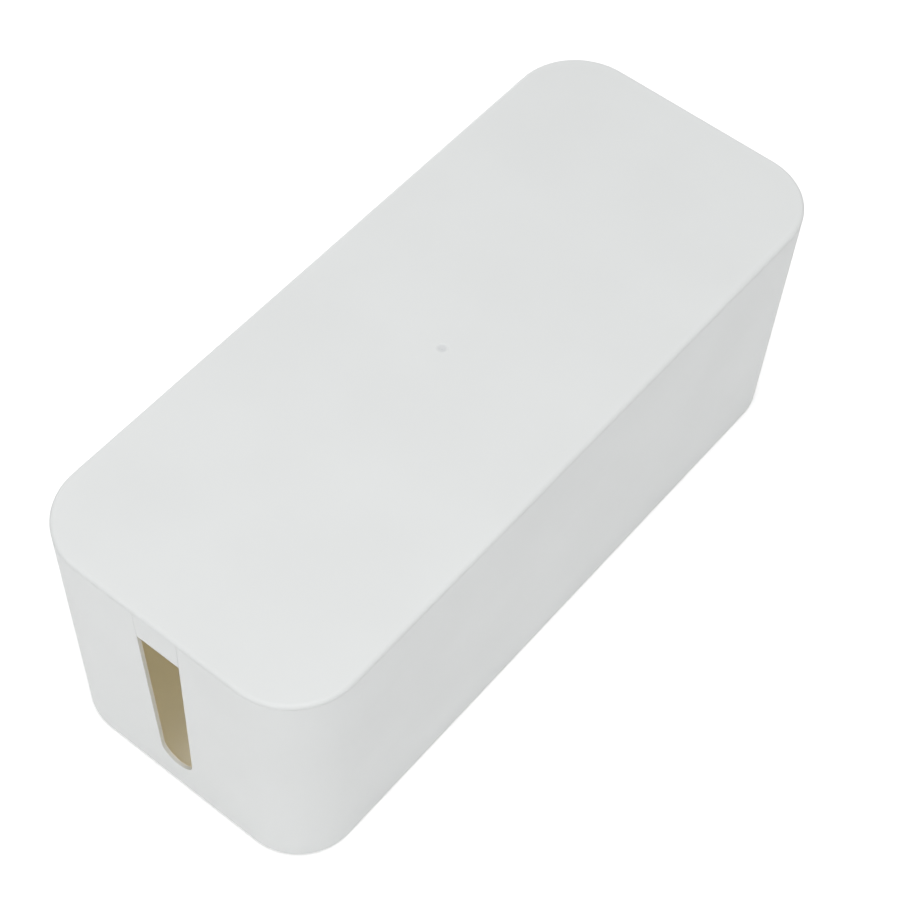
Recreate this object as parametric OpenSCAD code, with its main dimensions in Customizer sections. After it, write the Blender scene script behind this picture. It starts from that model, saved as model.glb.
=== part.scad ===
// Cable management box: a long drafted tub with an open-topped cable slot in each end wall,
// a lift-off lid whose tabs close the tops of the slots, and four rubber feet.
// The box stands on the plane z = 0 and is centred on the z axis. Its length runs along x.

/* [Tub] */
// Length over the rim
tub_l = 400; // [330:1:440]
// Width over the rim
tub_w = 167.5; // [130:0.5:200]
// Height of the tub from its underside to its rim
tub_h = 147.2; // [110:0.1:180]
// Radius of the upright corners at the rim
corner_r = 36; // [22:0.5:50]
// How far the outside walls lean out from upright, in degrees
draft = 1.8; // [0.5:0.1:3]
// Thickness of the walls
wall_t = 2; // [1.6:0.1:4]
// Thickness of the floor
floor_t = 3; // [2.4:0.1:5]
// Rounding of the outside edge between the walls and the underside
base_edge_r = 2; // [0.5:0.1:4]
// Rounding inside, where the walls meet the floor
inside_edge_r = 5; // [1:0.5:10]
// Height of the fine step round the outside of the rim, where the lid meets it
step_h = 0.2; // [0.1:0.05:2]
// Depth of that step
step_in = 0.3; // [0.1:0.05:1.2]

/* [Cable slots] */
// Width of a slot at the rim
slot_w = 26.3; // [20:0.1:40]
// Height of the lowest point of a slot above the tub's underside
slot_sill_h = 20.3; // [12:0.1:40]
// Lean of a slot's sides from upright, in degrees
slot_draft = 1.65; // [0:0.05:2]

/* [Lid] */
// Thickness of the lid's plate
lid_t = 2.6; // [2.2:0.1:5]
// Rounding of the plate's top edge
lid_edge_r = 2; // [0.5:0.1:2.2]
// Depth of the ring under the plate that centres the lid in the rim
ring_h = 7; // [3:0.5:14]
// Thickness of that ring
ring_t = 2; // [1.2:0.1:3]
// Clearance between the ring and the inside of the walls
ring_gap = 0.5; // [0.3:0.1:1.5]
// How far a tab reaches down into its slot
tab_h = 19.1; // [8:0.1:40]
// Clearance between a tab and each side of its slot
tab_gap = 0.25; // [0.2:0.05:1]
// Thickness of the gussets behind a tab
gusset_t = 1.6; // [1:0.1:3]
// How far the gussets run in along the plate
gusset_l = 13; // [8:0.5:30]
// Number of stiffening ribs across the plate
rib_count = 3; // [1:1:7]
// Distance from one rib to the next
rib_pitch = 90; // [30:1:120]
// Thickness of a rib
rib_t = 1.6; // [1:0.1:3]
// Height of a rib below the plate
rib_h = 3; // [1:0.5:6]

/* [Underside] */
// Length of the shallow recess between the feet
recess_l = 270; // [150:1:300]
// Width of that recess
recess_w = 84; // [40:1:110]
// Depth of that recess
recess_h = 0.8; // [0.3:0.1:1.2]
// Radius of its corners
recess_r = 14; // [2:0.5:20]

/* [Gate marks] */
// Width of the dished mark that the moulding gate leaves on the lid and on the tub
gate_w = 6; // [3:0.1:10]
// Depth of the dished mark
gate_h = 0.6; // [0.2:0.05:1]
// Width of the sheared gate in its middle
gate_nib_w = 1.2; // [0.8:0.1:2.5]
// Height of the sheared gate above the bottom of the dish
gate_nib_h = 0.2; // [0.1:0.01:0.5]
// Place of the lid's mark along the length, from the middle
lid_gate_x = -1.3; // [-10:0.1:10]
// Place of the lid's mark across the width, from the middle
lid_gate_y = 2.4; // [-10:0.1:10]

/* [Feet] */
// Width of a foot
foot_w = 14; // [8:0.5:22]
// How far a foot stands out below the tub
foot_stand = 1.5; // [0.5:0.1:5]
// How deep a foot is set into the underside
foot_set = 1; // [0.4:0.1:1.4]
// Clearance round a foot in its seat
foot_gap = 0.15; // [0.1:0.05:0.5]
// Bevel round a foot's lower edge
foot_bevel = 0.4; // [0.1:0.1:0.5]
// Distance from the middle of a foot to the long edge of the underside
foot_inset_w = 30; // [20:0.5:45]
// Distance from the middle of a foot to the end edge of the underside
foot_inset_l = 30; // [20:0.5:60]

/* [Hidden] */
$fn = 96;
arc_steps = 8;
// How far a shape that cuts reaches past what it cuts
cut = 1;

tub_z = foot_stand;
rim_z = tub_z + tub_h;
// The rectangle that joins the centres of the four upright corners
core_l = tub_l - 2 * corner_r;
core_w = tub_w - 2 * corner_r;
lean = tan(draft);
base_l = tub_l - 2 * tub_h * lean;
base_w = tub_w - 2 * tub_h * lean;
foot_x = base_l / 2 - foot_inset_l;
foot_y = base_w / 2 - foot_inset_w;
slot_h = tub_h - slot_sill_h;
ring_out_r = corner_r - wall_t - ring_gap;
ring_in_r = ring_out_r - ring_t;
ring_mid_y = core_w / 2 + ring_in_r + ring_t / 2;
gate_ball_r = (gate_w * gate_w / 4 + gate_h * gate_h) / (2 * gate_h);

// Points along an arc, from one angle to another.
function arc(x, y, r, from, to) =
    [for (i = [0:arc_steps]) let (a = from + (to - from) * i / arc_steps) [x + r * cos(a), y + r * sin(a)]];

// Half of a leaning outline: r_top wide at height h, narrower below, with a rounded lower corner
// and a rounded upper one.
module leaning_half(r_top, h, angle, low_r = 0, high_r = 0) {
    r_low = r_top - h * tan(angle);
    low_x = r_low - low_r * (1 - sin(angle)) / cos(angle);
    high_x = r_top - high_r * (1 + sin(angle)) / cos(angle);
    low = low_r > 0 ? arc(low_x, low_r, low_r, -90, -angle) : [[r_low, 0]];
    high = high_r > 0 ? arc(high_x, h - high_r, high_r, -angle, 90) : [[r_top, h]];
    polygon(concat([[0, 0]], low, high, [[0, h]]));
}

// A block with a rounded rectangular plan whose four sides lean out. Its half outline is swept
// round the rectangle that joins the four corner centres.
module leaning_block(l, w, r_top, h, angle, low_r = 0, high_r = 0) {
    for (turn = [0, 180])
        rotate([0, 0, turn]) {
            side_run(l / 2, w) leaning_half(r_top, h, angle, low_r, high_r);
            rotate([0, 0, 90])
                side_run(w / 2, l) leaning_half(r_top, h, angle, low_r, high_r);
            translate([l / 2, w / 2, 0])
                rotate_extrude(angle = 90) leaning_half(r_top, h, angle, low_r, high_r);
            translate([-l / 2, w / 2, 0])
                rotate([0, 0, 90])
                    rotate_extrude(angle = 90) leaning_half(r_top, h, angle, low_r, high_r);
        }
    translate([-l / 2, -w / 2, 0])
        cube([l, w, h]);
}

// One straight stretch of such a block, standing at a distance from its middle.
module side_run(distance, run) {
    translate([distance, 0, 0])
        rotate([90, 0, 0])
            linear_extrude(height = run, center = true)
                children();
}

// The space that the walls enclose, from the floor up past the rim.
module tub_inside() {
    inside_h = tub_h - floor_t + cut;
    translate([0, 0, tub_z + floor_t])
        leaning_block(core_l, core_w, corner_r - wall_t + cut * lean, inside_h, draft, inside_edge_r);
}

module tub_outside() {
    translate([0, 0, tub_z])
        leaning_block(core_l, core_w, corner_r, tub_h, draft, base_edge_r);
}

// Outline of a slot as seen from the end, open above the rim and with a full round at the bottom.
// With a gap it is that much narrower on each side, for the tab that fills the slot.
module slot_outline(gap = 0) {
    top_w = slot_w / 2 - gap + cut * tan(slot_draft);
    low_w = slot_w / 2 - gap - slot_h * tan(slot_draft);
    end_r = low_w * cos(slot_draft) / (1 - sin(slot_draft));
    translate([0, tub_z + slot_sill_h])
        for (side = [0, 1])
            mirror([side, 0])
                leaning_half(top_w, slot_h + cut, slot_draft, end_r);
}

// A prism along the box with the slots' outline, so that both slots line up.
module slot_prism(gap = 0) {
    rotate([90, 0, 90])
        linear_extrude(height = tub_l + 2 * cut, center = true)
            slot_outline(gap);
}

// The dished mark left by the moulding gate, with the sheared gate standing in its middle.
module gate_mark() {
    difference() {
        translate([0, 0, gate_ball_r - gate_h])
            sphere(r = gate_ball_r);
        translate([0, 0, -gate_h - cut])
            cylinder(d = gate_nib_w, h = gate_nib_h + cut);
    }
}

module underside_recess() {
    translate([0, 0, tub_z - cut])
        leaning_block(recess_l - 2 * recess_r, recess_w - 2 * recess_r, recess_r, recess_h + cut, 0);
}

module foot_seat(x, y) {
    translate([x, y, tub_z - cut])
        cylinder(d = foot_w + 2 * foot_gap, h = foot_set + cut);
}

// What the fine step takes off the outside of the rim.
module rim_step() {
    translate([0, 0, rim_z - step_h])
        difference() {
            leaning_block(core_l, core_w, corner_r + cut, step_h + cut, 0);
            translate([0, 0, -cut])
                leaning_block(core_l, core_w, corner_r - step_in, step_h + 3 * cut, 0);
        }
}

module tub() {
    color("white")
        difference() {
            tub_outside();
            tub_inside();
            rim_step();
            slot_prism();
            underside_recess();
            for (x = [-foot_x, foot_x], y = [-foot_y, foot_y])
                foot_seat(x, y);
            translate([0, 0, tub_z + recess_h])
                mirror([0, 0, 1])
                    gate_mark();
        }
}

module lid_plate() {
    difference() {
        translate([0, 0, rim_z])
            leaning_block(core_l, core_w, corner_r, lid_t, 0, 0, min(lid_edge_r, lid_t));
        translate([lid_gate_x, lid_gate_y, rim_z + lid_t])
            gate_mark();
    }
}

// The space inside the ring, from below it up into the plate.
module ring_inside() {
    translate([0, 0, rim_z - ring_h - cut])
        leaning_block(core_l, core_w, ring_in_r, ring_h + 2 * cut, 0);
}

// The ring that hangs inside the rim and leans with the walls.
module centring_ring() {
    difference() {
        translate([0, 0, rim_z - ring_h])
            leaning_block(core_l, core_w, ring_out_r, ring_h, draft);
        ring_inside();
    }
}

// What the slots take out of the end walls, less a clearance: the two tabs. The inside that is
// given as a child sets their thickness, and reach sets how far down they go.
module slot_plugs(reach) {
    intersection() {
        difference() {
            tub_outside();
            children();
        }
        slot_prism(tab_gap);
        translate([-tub_l / 2, -slot_w, rim_z - reach])
            cube([tub_l, 2 * slot_w, reach]);
    }
}

// The tabs are as thick as the walls, with a root that closes the clearance up to the ring.
module slot_tabs() {
    slot_plugs(tab_h) tub_inside();
    slot_plugs(ring_h) ring_inside();
}

// A three-sided web that ties a tab to the plate, thin side along y.
module gusset() {
    wall_in_x = core_l / 2 + corner_r - wall_t;
    rotate([90, 0, 0])
        linear_extrude(height = gusset_t, center = true)
            polygon([
                [wall_in_x - gusset_l, rim_z],
                [wall_in_x + wall_t / 2, rim_z],
                [wall_in_x + wall_t / 2 - tab_h * lean, rim_z - tab_h],
                [wall_in_x - tab_h * lean, rim_z - tab_h]
            ]);
}

module ribs() {
    for (i = [0:rib_count - 1])
        translate([(i - (rib_count - 1) / 2) * rib_pitch - rib_t / 2, -ring_mid_y, rim_z - rib_h])
            cube([rib_t, 2 * ring_mid_y, rib_h]);
}

module lid() {
    gusset_y = slot_w / 4;
    color("white") {
        lid_plate();
        centring_ring();
        slot_tabs();
        ribs();
        for (turn = [0, 180], y = [-gusset_y, gusset_y])
            rotate([0, 0, turn])
                translate([0, y, 0])
                    gusset();
    }
}

module foot(x, y) {
    color("gainsboro")
        translate([x, y, 0]) {
            cylinder(d1 = foot_w - 2 * foot_bevel, d2 = foot_w, h = foot_bevel);
            translate([0, 0, foot_bevel])
                cylinder(d = foot_w, h = foot_stand + foot_set - foot_bevel);
        }
}

tub();
lid();
foot(-foot_x, -foot_y);  // foot_front_left
foot(foot_x, -foot_y);  // foot_front_right
foot(-foot_x, foot_y);  // foot_back_left
foot(foot_x, foot_y);  // foot_back_right
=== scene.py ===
import math

import bmesh
import bpy
from mathutils import Matrix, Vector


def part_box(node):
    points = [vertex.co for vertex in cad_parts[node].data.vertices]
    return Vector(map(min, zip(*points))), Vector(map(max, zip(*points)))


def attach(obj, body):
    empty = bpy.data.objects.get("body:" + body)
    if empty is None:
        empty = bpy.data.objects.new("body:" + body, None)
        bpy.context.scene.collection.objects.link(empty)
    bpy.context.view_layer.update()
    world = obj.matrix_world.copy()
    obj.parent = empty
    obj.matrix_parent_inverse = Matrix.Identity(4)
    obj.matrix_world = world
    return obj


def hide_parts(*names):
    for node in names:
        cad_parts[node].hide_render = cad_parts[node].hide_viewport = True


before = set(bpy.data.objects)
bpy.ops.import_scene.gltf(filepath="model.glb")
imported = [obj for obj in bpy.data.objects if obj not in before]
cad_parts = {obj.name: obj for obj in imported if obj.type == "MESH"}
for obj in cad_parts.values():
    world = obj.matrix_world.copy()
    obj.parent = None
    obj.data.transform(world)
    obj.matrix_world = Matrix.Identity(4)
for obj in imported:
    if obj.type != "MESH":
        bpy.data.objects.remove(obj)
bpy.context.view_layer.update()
mm = 0.001
tiny = 0.01 * mm     # smaller than any feature
past = 1 * mm     # how far a cutting shape sticks out past the face it cuts
print("frame loaded:", ", ".join(sorted(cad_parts)))


def deselectAll():
    bpy.ops.object.select_all(action="DESELECT")


def nameActive(name):
    piece = bpy.context.object
    piece.name = piece.data.name = name
    return piece


# selects only those faces or edges of the mesh in edit mode that pass the test
def pick(kind, test):
    mesh = bpy.context.edit_object.data
    bpy.ops.mesh.select_all(action="DESELECT")
    bpy.ops.mesh.select_mode(type=kind)
    shape = bmesh.from_edit_mesh(mesh)
    for item in shape.faces if kind == "FACE" else shape.edges:
        item.select_set(test(item))
    bmesh.update_edit_mesh(mesh)


def facing(x, y, z):
    return lambda face: face.normal.dot((x, y, z)) > 0.99


# a flat plate with round corners, left in edit mode with its face selected
def startPlate(name, length, width, cornerRadius, z):
    deselectAll()
    bpy.ops.mesh.primitive_plane_add(size=1, location=(0, 0, z))
    piece = nameActive(name)
    bpy.ops.object.mode_set(mode="EDIT")
    bpy.ops.transform.resize(value=(length, width, 1))
    bpy.ops.mesh.bevel(offset=cornerRadius, segments=shared["cornerSteps"], affect="VERTICES")
    return piece


# a box from its low corner to its high one, left in edit mode with all of it selected
def startBox(name, low, high):
    deselectAll()
    bpy.ops.mesh.primitive_cube_add(size=1, location=[(a + b) / 2 for a, b in zip(low, high)])
    piece = nameActive(name)
    bpy.ops.object.mode_set(mode="EDIT")
    bpy.ops.transform.resize(value=[b - a for a, b in zip(low, high)])
    return piece


def extrudeUp(distance):
    bpy.ops.mesh.extrude_region_move(TRANSFORM_OT_translate={"value": (0, 0, distance)})


# back to object mode, with the object's place moved into its mesh
def endPiece(piece):
    bpy.ops.mesh.select_all(action="SELECT")
    bpy.ops.mesh.remove_doubles(threshold=0.005 * mm)
    bpy.ops.mesh.normals_make_consistent(inside=False)
    bpy.ops.object.mode_set(mode="OBJECT")
    bpy.ops.object.transform_apply(location=True, rotation=True, scale=True)
    return piece


def applyModifier(piece, kind, **settings):
    deselectAll()
    piece.select_set(True)
    bpy.context.view_layer.objects.active = piece
    modifier = piece.modifiers.new(kind.lower(), kind)
    for key, value in settings.items():
        setattr(modifier, key, value)
    bpy.ops.object.modifier_apply(modifier=modifier.name)


# takes shapes away from a piece, or adds them to it, and throws them away
def combine(piece, operation, *shapes):
    for shape in shapes:
        applyModifier(piece, "BOOLEAN", operation=operation, object=shape, solver="EXACT")
        bpy.data.objects.remove(shape)


# small rounds on the edges that pass the test
def roundEdges(radius, test):
    pick("EDGE", test)
    bpy.ops.mesh.bevel(offset=radius, segments=3, affect="EDGES")


# cleans the mesh up after the cuts, then shades the curves round and keeps the flats flat
def smoothShade(piece):
    deselectAll()
    piece.select_set(True)
    bpy.context.view_layer.objects.active = piece
    bpy.ops.object.mode_set(mode="EDIT")
    endPiece(piece)
    bpy.ops.object.shade_smooth_by_angle(angle=math.radians(35))
    applyModifier(piece, "WEIGHTED_NORMAL", weight=50, keep_sharp=True)


# sizes that the tub and the lid share, and places worked out from the frame
tubLow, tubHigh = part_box("tub")
lidLow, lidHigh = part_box("lid")
shared = {
    "length": lidHigh.x - lidLow.x,
    "width": lidHigh.y - lidLow.y,
    "cornerRadius": 36 * mm,
    "wall": 2 * mm,
    "draft": math.radians(1.8),
    "slotWidth": 26.3 * mm,     # at the rim
    "slotDraft": math.radians(1.65),
    "slotSill": 20.3 * mm,     # lowest point of a slot above the tub's underside
    "cornerSteps": 32,
}
lean = math.tan(shared["draft"])
slotLean = math.tan(shared["slotDraft"])
rimZ = tubHigh.z
baseZ = tubLow.z


# the mark that the moulding gate leaves: a shallow dish with the sheared gate in its middle
gateMark = {
    "width": 6 * mm,
    "depth": 0.6 * mm,
    "nibWidth": 1.2 * mm,
    "nibHeight": 0.2 * mm,
    "onLid": (-1.3 * mm, 2.4 * mm),
    "onTub": (0, 0),
    # the spot below is rough, and its colour is darkened over the dish: painted shade
    "scarAndShadeWidth": 5 * mm,
    "scarAndShadeFade": (0.3, 0.6),     # where it fades out, as shares of its width
    "scarAndShadeDepth": (1.2 * mm, 1.5 * mm),     # how far from the mark's face it fades out
    "scarRoughness": 0.3,
    # painted shade that darkens the whole dish of the mark
    "paintedDishShadeColour": (0.70, 0.715, 0.72, 1),
}


# the shape that cuts the mark into a flat face at height z, with up at 1 for a face that looks up
def dishCutter(place, z, up):
    g = gateMark
    deselectAll()
    radius = (g["width"] ** 2 / 4 + g["depth"] ** 2) / (2 * g["depth"])
    bpy.ops.mesh.primitive_uv_sphere_add(segments=48, ring_count=96, radius=radius,
                                         location=(*place, z + up * (radius - g["depth"])))
    cutter = nameActive("dishCutter")
    bpy.ops.mesh.primitive_cylinder_add(vertices=32, radius=g["nibWidth"] / 2, depth=2 * g["nibHeight"],
                                        location=(*place, z - up * g["depth"]))
    combine(cutter, "DIFFERENCE", nameActive("nib"))
    bpy.ops.object.transform_apply(location=True, rotation=True, scale=True)
    return cutter


tubSizes = {
    "floor": 3 * mm,
    "stepHeight": 0.2 * mm,     # the fine step round the rim, where the lid meets it
    "stepDepth": 0.3 * mm,
    "baseRound": 2 * mm,
    "insideRound": 5 * mm,
    "rimRound": 0.3 * mm,
    "recess": (270 * mm, 84 * mm, 0.8 * mm),
    "recessCorner": 14 * mm,
    "footSeatWidth": 14.3 * mm,
    "footSeatDepth": 1 * mm,
}


# a bar along the whole box that cuts both slots, with their taper and their round lower end
def slotCutter():
    bottom = baseZ + shared["slotSill"]
    top = rimZ + past
    halfTop = shared["slotWidth"] / 2 + (top - rimZ) * slotLean
    halfBottom = halfTop - (top - bottom) * slotLean
    reach = shared["length"] / 2 + past
    bar = startBox("slotCutter", (-reach, -halfBottom, bottom), (reach, halfBottom, top))
    pick("FACE", facing(0, 0, 1))
    bpy.ops.transform.resize(value=(1, halfTop / halfBottom, 1))
    middle = (top + bottom) / 2
    pick("EDGE", lambda edge: all(v.co.z + bar.location.z < middle for v in edge.verts)
         and abs(edge.verts[0].co.x - edge.verts[1].co.x) > reach)
    bpy.ops.mesh.bevel(offset=halfBottom - tiny, segments=24, affect="EDGES")     # nearly a full round
    return endPiece(bar)


def makeTub():
    s = tubSizes
    ledgeZ = rimZ - s["stepHeight"]
    ledgeIn = s["stepHeight"] * lean
    tub = startPlate("tubShell", shared["length"] - 2 * ledgeIn, shared["width"] - 2 * ledgeIn,
                     shared["cornerRadius"] - ledgeIn, ledgeZ)

    # up over the step and the rim, then down inside to the floor
    bpy.ops.mesh.inset(thickness=s["stepDepth"] - ledgeIn)
    extrudeUp(s["stepHeight"])
    bpy.ops.mesh.inset(thickness=shared["wall"] - s["stepDepth"])
    insideHeight = rimZ - baseZ - s["floor"]
    bpy.ops.mesh.inset(thickness=insideHeight * lean, depth=-insideHeight)
    bpy.ops.mesh.region_to_loop()
    bpy.ops.mesh.bevel(offset=s["insideRound"], segments=8, affect="EDGES")
    roundEdges(s["rimRound"], lambda edge: all(abs(v.co.z - s["stepHeight"]) < tiny for v in edge.verts)
               and any(v.co.z < 0 for face in edge.link_faces for v in face.verts))

    # the outside wall, from the open edge down to the underside
    pick("EDGE", lambda edge: edge.is_boundary)
    outsideHeight = ledgeZ - baseZ
    bpy.ops.mesh.extrude_edges_move(TRANSFORM_OT_translate={"value": (0, 0, -outsideHeight)})
    bpy.ops.transform.shrink_fatten(value=-outsideHeight * lean, use_even_offset=True)
    bpy.ops.mesh.edge_face_add()
    bpy.ops.mesh.bevel(offset=s["baseRound"], segments=6, affect="EDGES")
    endPiece(tub)

    # slots, the shallow recess underneath and the seats of the feet
    recessLength, recessWidth, recessDepth = s["recess"]
    recess = startPlate("recessCutter", recessLength, recessWidth, s["recessCorner"], baseZ - past)
    extrudeUp(recessDepth + past)
    endPiece(recess)
    combine(tub, "DIFFERENCE", slotCutter(), recess)
    for foot in feet:
        low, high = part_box(foot)
        deselectAll()
        bpy.ops.mesh.primitive_cylinder_add(vertices=64, radius=s["footSeatWidth"] / 2,
                                            depth=2 * s["footSeatDepth"],
                                            location=((low.x + high.x) / 2, (low.y + high.y) / 2, baseZ))
        combine(tub, "DIFFERENCE", nameActive("seatCutter"))
    combine(tub, "DIFFERENCE", dishCutter(gateMark["onTub"], baseZ + recessDepth, -1))
    smoothShade(tub)
    return tub


feet = [name for name in sorted(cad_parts) if name.startswith("foot_")]
tub = makeTub()
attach(tub, "tub")
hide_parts("tub")
print("tub modelled")


lidSizes = {
    "topRound": 2 * mm,
    "ringGap": 0.5 * mm,
    "ringWall": 2 * mm,
    "ringHeight": 7 * mm,
    "lowerRound": 0.3 * mm,     # on the lower edges of the ring, the ribs and the tabs
    "tabHeight": 19.1 * mm,
    "tabGap": 0.15 * mm,
    "tabIntoPlate": 0.4 * mm,
    "rootInset": 0.1 * mm,     # how much narrower than the tab its root is, on each side
    "rootIntoPlate": 0.5 * mm,
    "gussetWall": 1.6 * mm,
    "gussetRun": 13 * mm,
    "gussetRise": 0.6 * mm,     # its lower end above the tab's, and its top above the rim
    "gussetIntoTab": 0.3,     # as a share of the wall
    "ribCount": 3,
    "ribPitch": 90 * mm,
    "ribWall": 1.6 * mm,
    "ribHeight": 3 * mm,
    "ribIntoPlate": 0.4 * mm,
}


# the tab that closes the top of one slot, with its root and its two gussets; side is -1 or 1
def makeTab(side):
    s = lidSizes
    wallX = shared["length"] / 2
    innerX = wallX - shared["wall"]
    rootX = innerX - s["ringGap"] - s["ringWall"] / 2
    tabZ = rimZ - s["tabHeight"]
    halfTop = shared["slotWidth"] / 2 - s["tabGap"]
    halfBottom = halfTop - s["tabHeight"] * slotLean
    shift = -side * s["tabHeight"] * lean

    # the low and the high corner of a box on this side, from two distances along the box
    def ordered(xOne, xTwo, halfY, zLow, zHigh, y=0):
        xs = sorted((side * xOne, side * xTwo))
        return (xs[0], y - halfY, zLow), (xs[1], y + halfY, zHigh)

    tab = startBox("tab", *ordered(innerX, wallX, halfTop, tabZ, rimZ))
    pick("FACE", facing(0, 0, -1))
    bpy.ops.transform.resize(value=(1, halfBottom / halfTop, 1))
    bpy.ops.transform.translate(value=(shift, 0, 0))
    roundEdges(s["lowerRound"], lambda edge: all(v.co.z < 0 for v in edge.verts))
    pick("FACE", facing(0, 0, 1))
    extrudeUp(s["tabIntoPlate"])
    endPiece(tab)

    root = startBox("tabRoot", *ordered(rootX, innerX + shared["wall"] / 2, halfTop - s["rootInset"],
                                        rimZ - s["ringHeight"], rimZ + s["rootIntoPlate"]))
    pick("FACE", facing(0, 0, -1))
    bpy.ops.transform.resize(value=(1, 1 - s["ringHeight"] * slotLean / halfTop, 1))
    combine(tab, "UNION", endPiece(root))

    for y in (-shared["slotWidth"] / 4, shared["slotWidth"] / 4):
        overlap = s["gussetIntoTab"] * shared["wall"]
        run = overlap + s["gussetRun"]
        gusset = startBox("gusset", *ordered(innerX - s["gussetRun"], innerX + overlap, s["gussetWall"] / 2,
                                             tabZ + s["gussetRise"], rimZ + s["gussetRise"], y))
        pick("FACE", facing(0, 0, -1))
        bpy.ops.transform.resize(value=(overlap / run, 1, 1))
        bpy.ops.transform.translate(value=(side * (run - overlap) / 2 + shift, 0, 0))
        combine(tab, "UNION", endPiece(gusset))
    return tab


def makeLid():
    s = lidSizes
    thickness = lidHigh.z - rimZ
    lid = startPlate("lidShell", shared["length"], shared["width"], shared["cornerRadius"], rimZ)
    extrudeUp(thickness)
    bpy.ops.mesh.region_to_loop()
    bpy.ops.mesh.bevel(offset=s["topRound"], segments=8, affect="EDGES")

    # the centring ring, drawn out of the plate's underside
    bpy.ops.mesh.select_all(action="SELECT")
    bpy.ops.mesh.normals_make_consistent(inside=False)
    pick("FACE", facing(0, 0, -1))
    bpy.ops.mesh.inset(thickness=shared["wall"] + s["ringGap"])
    ringLean = s["ringHeight"] * lean
    bpy.ops.mesh.inset(thickness=ringLean, depth=s["ringHeight"])
    bpy.ops.mesh.inset(thickness=s["ringWall"] - ringLean)
    extrudeUp(s["ringHeight"])
    roundEdges(s["lowerRound"], lambda edge: all(v.co.z < tiny - s["ringHeight"] for v in edge.verts))
    endPiece(lid)

    ringMidY = shared["width"] / 2 - shared["wall"] - s["ringGap"] - s["ringWall"] / 2
    for i in range(s["ribCount"]):
        x = (i - (s["ribCount"] - 1) / 2) * s["ribPitch"]
        rib = startBox("rib", (x - s["ribWall"] / 2, -ringMidY, rimZ - s["ribHeight"]),
                       (x + s["ribWall"] / 2, ringMidY, rimZ + s["ribIntoPlate"]))
        roundEdges(s["lowerRound"], lambda edge: all(v.co.z < 0 for v in edge.verts))
        combine(lid, "UNION", endPiece(rib))
    combine(lid, "UNION", makeTab(-1), makeTab(1))
    combine(lid, "DIFFERENCE", dishCutter(gateMark["onLid"], lidHigh.z, 1))
    smoothShade(lid)
    return lid


lid = makeLid()
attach(lid, "lid")
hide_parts("lid")
print("lid modelled")


# a value that runs between shader nodes, with maths written as Python expressions
class Wire:
    def __init__(self, paint, socket):
        self.paint = paint
        self.socket = socket

    def maths(self, operation, first, second=0.0):
        return self.paint.node("ShaderNodeMath", {"operation": operation}, {0: first, 1: second})

    def __add__(self, other):
        return self.maths("ADD", self, other)

    def __sub__(self, other):
        return self.maths("SUBTRACT", self, other)

    def __mul__(self, other):
        return self.maths("MULTIPLY", self, other)

    def __rsub__(self, other):
        return self.maths("SUBTRACT", other, self)

    __radd__ = __add__
    __rmul__ = __mul__

    def abs(self):
        return self.maths("ABSOLUTE", self)

    def atLeast(self, other):
        return self.maths("MAXIMUM", self, other)

    def root(self):
        return self.maths("SQRT", self)

    # 0 below the first value, 1 above the second, and smooth between them
    def rise(self, start, end):
        return self.paint.node("ShaderNodeMapRange", {"interpolation_type": "SMOOTHSTEP"},
                               {"Value": self, "From Min": start, "From Max": end})


# a material under construction
class Paint:
    def __init__(self, name):
        self.material = bpy.data.materials.new(name)
        self.material.use_nodes = True
        self.tree = self.material.node_tree
        self.shader = self.tree.nodes["Principled BSDF"]
        self.place = self.node("ShaderNodeTexCoord", output="Object")

    # adds a node: settings first, then a value or a wire for each of its sockets
    def node(self, kind, settings=None, values=None, output=0):
        node = self.tree.nodes.new(kind)
        for key, value in (settings or {}).items():
            setattr(node, key, value)
        for key, value in (values or {}).items():
            self.join(value, node.inputs[key])
        return Wire(self, node.outputs[output])

    def join(self, value, socket):
        if isinstance(value, Wire):
            self.tree.links.new(value.socket, socket)
        else:
            socket.default_value = value

    # smooth random values round 0.5, with features of about one size in metres
    def noise(self, size, detail=2.0, roughness=0.5, place=None):
        return self.node("ShaderNodeTexNoise", values={"Vector": place or self.place, "Scale": 1 / size,
                                                       "Detail": detail, "Roughness": roughness})

    def blend(self, amount, first, second):
        return self.node("ShaderNodeMix", {"data_type": "RGBA"}, {"Factor": amount, "A": first, "B": second},
                         output="Result")

    # heights in metres become a bump, on top of one that is already there
    def bump(self, height, depth, under=None):
        values = {"Height": height, "Distance": depth, "Strength": 1.0}
        if under:
            values["Normal"] = under
        return self.node("ShaderNodeBump", values=values)

    def finish(self, **values):
        for key, value in values.items():
            self.join(value, self.shader.inputs[key.replace("_", " ")])
        return self.material

    # a share of the light passes through and comes out scattered on the other side
    def letThrough(self, share, colour):
        through = self.node("ShaderNodeBsdfTranslucent", values={"Color": colour})
        plain = Wire(self, self.shader.outputs[0])
        both = self.node("ShaderNodeMixShader", values={0: share, 1: plain, 2: through})
        self.tree.links.new(both.socket, self.tree.nodes["Material Output"].inputs["Surface"])
        return self.material


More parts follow.
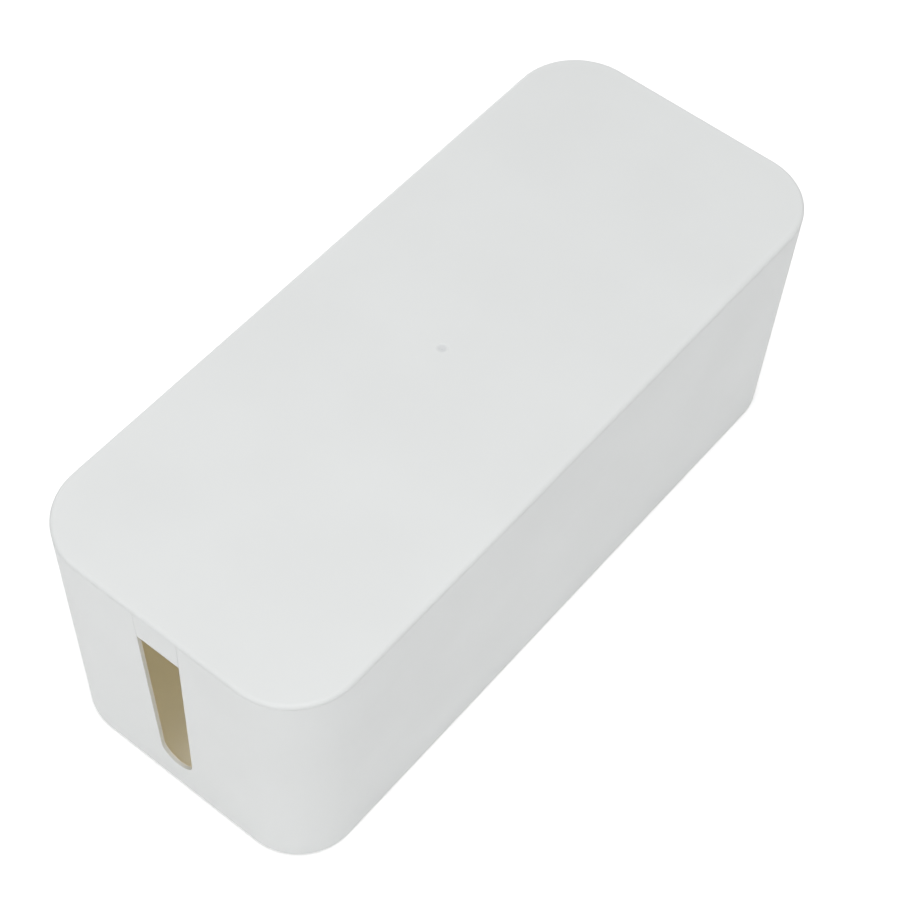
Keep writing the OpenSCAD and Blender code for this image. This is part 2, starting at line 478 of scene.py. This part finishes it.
mouldedPlastic = {
    "white": (0.793, 0.809, 0.805, 1),
    "shade": (0.776, 0.791, 0.787, 1),
    # painted warm light: the inside faces get a warmer cream than the same plastic has outside
    "paintedWarmInside": (0.93, 0.91, 0.87, 1),
    "throughColour": (0.98, 0.90, 0.66, 1),
    "through": 0.130,     # share of an inner face's light that comes through the wall
    "ior": 1.49,
    "roughness": 0.48,
    "cloudSize": 70 * mm,     # slow changes of shade and polish
    "cloudContrast": (0.3, 0.7),
    "cloudRoughness": 0.08,
    "grainSize": 0.5 * mm,
    "grainDepth": 0.012 * mm,
    "grainRoughness": 0.05,
    "waveSize": 45 * mm,     # slow unevenness of the surface
    "waveDepth": 0.05 * mm,
    "edgeWear": 0.14,     # added to the roughness where hands rub
    "edgeBand": (-4 * mm, -1 * mm),     # from the lid's top face
    "edgeReach": (2 * mm, 8 * mm),     # in from the side
    "scuffs": 0.05,     # added to the roughness
    "scuffSize": 4 * mm,
    "scuffStretch": 0.12,     # the less, the longer they run along the box
    "scuffContrast": (0.6, 0.7),
    "skin": (0.2 * mm, 0.5 * mm),     # where the outer skin ends, as a depth in the wall
    "innerFace": (0.8, 0.95),     # where the inside starts, as shares of the wall
    "insideFloor": (2.6 * mm, 2.9 * mm),     # this and the next are heights above the tub's underside
    "overFloor": (3.2 * mm, 3.8 * mm),
    "lidFace": (0.3 * mm, 0.6 * mm),     # above the rim
}


# thin walls light the inside of the closed box; the outer skin lets light in and none out, which real
# plastic doesn't do, so that the outside keeps its plain white
def plastic(name, gatePlace):
    s = mouldedPlastic
    p = Paint(name)
    x, y, z = [p.node("ShaderNodeSeparateXYZ", values={0: p.place}, output=i) for i in range(3)]

    def above(level, band):
        return z.rise(level + band[0], level + band[1])

    # how deep a point lies in the wall: 0 on the outside, the wall's thickness on the inside
    cornerX = (x.abs() - (shared["length"] / 2 - shared["cornerRadius"])).atLeast(0.0)
    cornerY = (y.abs() - (shared["width"] / 2 - shared["cornerRadius"])).atLeast(0.0)
    depth = shared["cornerRadius"] - (rimZ - z) * lean - (cornerX * cornerX + cornerY * cornerY).root()
    underLid = 1 - above(rimZ, s["lidFace"])
    pastWall = depth.rise(*[share * shared["wall"] for share in s["innerFace"]])
    inside = pastWall * above(baseZ, s["insideFloor"]) * underLid

    clouds = p.noise(s["cloudSize"], detail=3)
    grain = p.noise(s["grainSize"], detail=3, roughness=0.6)
    waves = p.noise(s["waveSize"], detail=1)
    colour = p.blend(clouds.rise(*s["cloudContrast"]), s["white"], s["shade"])
    # the inside faces are painted warmer than the outside: painted warm light of the shut box's hollow
    colour = p.blend(inside, colour, s["paintedWarmInside"])

    # the sheared gate leaves a rough, duller spot, on its own side of the wall, and the same spot is painted
    # darker over the whole dish: painted shade
    gateX, gateY, gateZ = x - gatePlace[0], y - gatePlace[1], z - gatePlace[2]
    fromGate = (gateX * gateX + gateY * gateY).root()
    scarAndShade = 1 - fromGate.rise(*[share * gateMark["scarAndShadeWidth"] for share in gateMark["scarAndShadeFade"]])
    scarAndShade = scarAndShade * (1 - gateZ.abs().rise(*gateMark["scarAndShadeDepth"]))
    # painted shade in the dish of the gate mark
    colour = p.blend(scarAndShade, colour, gateMark["paintedDishShadeColour"])

    # hands rub the lid's edge dull, and fine scuffs run along the box
    onEdge = above(lidHigh.z, s["edgeBand"]) * (1 - depth.rise(*s["edgeReach"]))
    stretched = p.node("ShaderNodeMapping", values={"Vector": p.place, "Scale": (s["scuffStretch"], 1, 1)})
    scuffs = p.noise(s["scuffSize"], detail=2, place=stretched).rise(*s["scuffContrast"])
    roughness = s["roughness"] + s["cloudRoughness"] * (clouds - 0.5) + s["grainRoughness"] * (grain - 0.5)
    roughness = roughness + gateMark["scarRoughness"] * scarAndShade + s["edgeWear"] * onEdge + s["scuffs"] * scuffs
    normal = p.bump(grain, s["grainDepth"], p.bump(waves, s["waveDepth"]))
    p.finish(Base_Color=colour, Roughness=roughness, Normal=normal, IOR=s["ior"])

    onSkin = 1 - depth.rise(*s["skin"]) * underLid
    fromWithin = p.node("ShaderNodeNewGeometry", output="Backfacing")
    glow = s["through"] * inside * above(baseZ, s["overFloor"])
    return p.letThrough(onSkin * fromWithin + glow, s["throughColour"])


footLook = {
    "dark": (0.26, 0.26, 0.26, 1),
    "light": (0.34, 0.34, 0.33, 1),
    "speckSize": 0.6 * mm,
    "speckDepth": 0.01 * mm,
    "roughness": 0.7,
    "speckRoughness": 0.2,
}


def rubber():
    s = footLook
    p = Paint("footRubber")
    specks = p.noise(s["speckSize"], detail=3)
    colour = p.blend(specks, s["dark"], s["light"])
    roughness = s["roughness"] + s["speckRoughness"] * (specks - 0.5)
    return p.finish(Base_Color=colour, Roughness=roughness, Normal=p.bump(specks, s["speckDepth"]))


def dress(piece, material):
    piece.data.materials.clear()
    piece.data.materials.append(material)


dress(tub, plastic("tubPlastic", (*gateMark["onTub"], baseZ + tubSizes["recess"][2])))
dress(lid, plastic("lidPlastic", (*gateMark["onLid"], lidHigh.z)))
footRubber = rubber()
for foot in feet:
    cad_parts[foot].material_slots[0].material = footRubber
print("materials made")


white = (1, 1, 1, 1)
studio = {
    "floorSize": 12,
    "floorColour": (0.9, 0.9, 0.9, 1),     # as it lights the object
    "floorGlow": 0.3,
    "floorFade": (0.7, 1.8),     # distances over which it turns into the white of the world
    "worldLight": 0.4,
    "lampDistance": 1.8,
}


# shows white to the camera, in mirrors and through glass, and keeps the shadow that falls on it
def floorMaterial():
    p = Paint("studioFloor")
    rays = [p.node("ShaderNodeLightPath", output=name)
            for name in ("Is Camera Ray", "Is Glossy Ray", "Is Transmission Ray")]
    seen = rays[0].atLeast(rays[1]).atLeast(rays[2])
    plain = p.node("ShaderNodeBsdfDiffuse", values={"Color": studio["floorColour"]})
    bright = p.node("ShaderNodeBsdfDiffuse", values={"Color": white})
    glow = p.node("ShaderNodeEmission", values={"Color": white, "Strength": studio["floorGlow"]})
    near = p.node("ShaderNodeAddShader", values={0: bright, 1: glow})

    # far from the object the floor fades into the white of the world
    x, y = [p.node("ShaderNodeSeparateXYZ", values={0: p.place}, output=i) for i in range(2)]
    far = (x * x + y * y).root().rise(*studio["floorFade"])
    horizon = p.node("ShaderNodeEmission", values={"Color": white, "Strength": 1.0})
    shown = p.node("ShaderNodeMixShader", values={0: far, 1: near, 2: horizon})
    mixed = p.node("ShaderNodeMixShader", values={0: seen, 1: plain, 2: shown})
    p.tree.links.new(mixed.socket, p.tree.nodes["Material Output"].inputs["Surface"])
    return p.material


deselectAll()
bpy.ops.mesh.primitive_plane_add(size=studio["floorSize"])
floor = nameActive("studioFloor")
dress(floor, floorMaterial())


def makeWorld(strength):
    world = bpy.data.worlds.new("studio")
    bpy.context.scene.world = world
    world.use_nodes = True
    tree = world.node_tree
    nodes = tree.nodes
    rays = nodes.new("ShaderNodeLightPath")
    lit = nodes["Background"]
    lit.inputs["Color"].default_value = white
    lit.inputs["Strength"].default_value = strength
    seen = nodes.new("ShaderNodeBackground")
    seen.inputs["Color"].default_value = white
    seen.inputs["Strength"].default_value = 1.0
    mix = nodes.new("ShaderNodeMixShader")
    tree.links.new(rays.outputs["Is Camera Ray"], mix.inputs[0])
    tree.links.new(lit.outputs[0], mix.inputs[1])
    tree.links.new(seen.outputs[0], mix.inputs[2])
    tree.links.new(mix.outputs[0], nodes["World Output"].inputs["Surface"])


# a soft box that looks at the object; azimuth 0 is in front of it, on the -Y side,
# and -90 is on the -X side
def softBox(name, azimuth, elevation, size, power):
    turn, tilt = math.radians(azimuth), math.radians(elevation)
    rotation = Matrix.Rotation(turn, 4, "Z") @ Matrix.Rotation(math.radians(90) - tilt, 4, "X")
    bpy.ops.object.light_add(type="AREA")
    light = nameActive(name)
    light.matrix_world = rotation @ Matrix.Translation((0, 0, studio["lampDistance"]))
    light.data.shape = "SQUARE"
    light.data.size = size
    light.data.energy = power
    light.visible_camera = False


lamps = {
    "topLight": {"azimuth": -53, "elevation": 75, "size": 1.4, "power": 17.9},
    "endLight": {"azimuth": -76, "elevation": 6, "size": 0.8, "power": 5.4},
    "sideLight": {"azimuth": 50, "elevation": 10, "size": 0.8, "power": 1.8},
    "backLight": {"azimuth": 145, "elevation": 12, "size": 0.8, "power": 7.0},
}
makeWorld(studio["worldLight"])
for name, lamp in lamps.items():
    softBox(name, **lamp)

view = {
    "location": (-0.543547, -0.411694, 1.015425),
    "azimuth": -53.151,
    "elevation": 54.186,
    "roll": 2.950,
    "lens": 93.752,
}


def makeCamera():
    bpy.ops.object.camera_add()
    camera = nameActive("mainCamera")
    turn = Matrix.Rotation(math.radians(view["azimuth"]), 4, "Z")
    tilt = Matrix.Rotation(math.radians(90 - view["elevation"]), 4, "X")
    roll = Matrix.Rotation(math.radians(view["roll"]), 4, "Z")
    camera.matrix_world = Matrix.Translation(view["location"]) @ turn @ tilt @ roll
    camera.data.lens = view["lens"]
    camera.data.sensor_width = 36
    camera.data.clip_end = 50
    bpy.context.scene.camera = camera


makeCamera()
bpy.context.scene.view_settings.view_transform = "Standard"
print("studio set")
